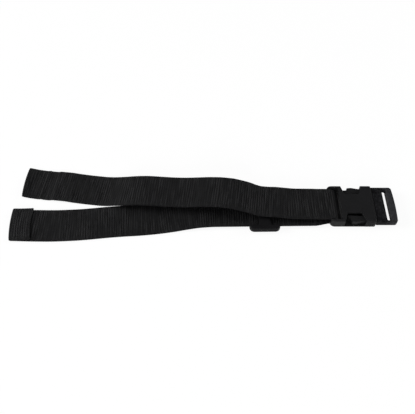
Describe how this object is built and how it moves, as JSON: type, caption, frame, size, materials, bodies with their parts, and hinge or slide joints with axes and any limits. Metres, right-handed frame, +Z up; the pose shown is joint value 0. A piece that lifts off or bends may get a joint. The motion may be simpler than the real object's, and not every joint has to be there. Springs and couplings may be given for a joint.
{
  "type": "luggage strap",
  "caption": "Folded webbing luggage strap with a side-release buckle on its loop and a tri-glide sliding on the lower run.",
  "frame": {"origin": "middle of the footprint, on the surface the strap lies on", "axes": "+X from the webbing's free ends to the buckle's plug, +Z up"},
  "size_m": [0.3916, 0.092, 0.0188],
  "materials": {
    "webbing": "ribbed polypropylene webbing",
    "thread": "bonded polyester thread",
    "socket_plastic": "fine spark-eroded texture",
    "plug_plastic": "fine spark-eroded texture",
    "glide_plastic": "fine spark-eroded texture"
  },
  "bodies": {
    "strap": {"webbing": "webbing", "hem_stitching": "thread"},
    "socket": {"socket": "socket_plastic"},
    "plug": {"plug": "plug_plastic"},
    "arm_far": {"plug_arm_far": "plug_plastic"},
    "arm_near": {"plug_arm_near": "plug_plastic"},
    "tri_glide": {"tri_glide": "glide_plastic"}
  },
  "joints": [
    {"name": "buckle_swivel", "type": "hinge", "parent": "strap", "child": "socket", "pos_m": [0.1302, -0.00673, 0.0052], "axis": [0, -1, 0], "range_deg": [-75, 75]},
    {"name": "plug_slide", "type": "slide", "parent": "socket", "child": "plug", "axis": [1, 0, 0], "range_m": [0, 0.03]},
    {"name": "far_arm_flex", "type": "hinge", "parent": "plug", "child": "arm_far", "pos_m": [0.1706, 0.00887, 0.0052], "axis": [0, 0, 1], "range_deg": [0, 16.4]},
    {"name": "near_arm_flex", "type": "hinge", "parent": "plug", "child": "arm_near", "pos_m": [0.1706, -0.02233, 0.0052], "axis": [0, 0, -1], "range_deg": [0, 16.4]},
    {"name": "tri_glide_slide", "type": "slide", "parent": "strap", "child": "tri_glide", "axis": [0.9999, 0.0135, 0], "range_m": [-0.034, 0.023]}
  ],
  "couplings": [
    {"joint": "far_arm_flex", "follows": "plug_slide", "rad_per_m": 9.5},
    {"joint": "near_arm_flex", "follows": "plug_slide", "rad_per_m": 9.5}
  ]
}
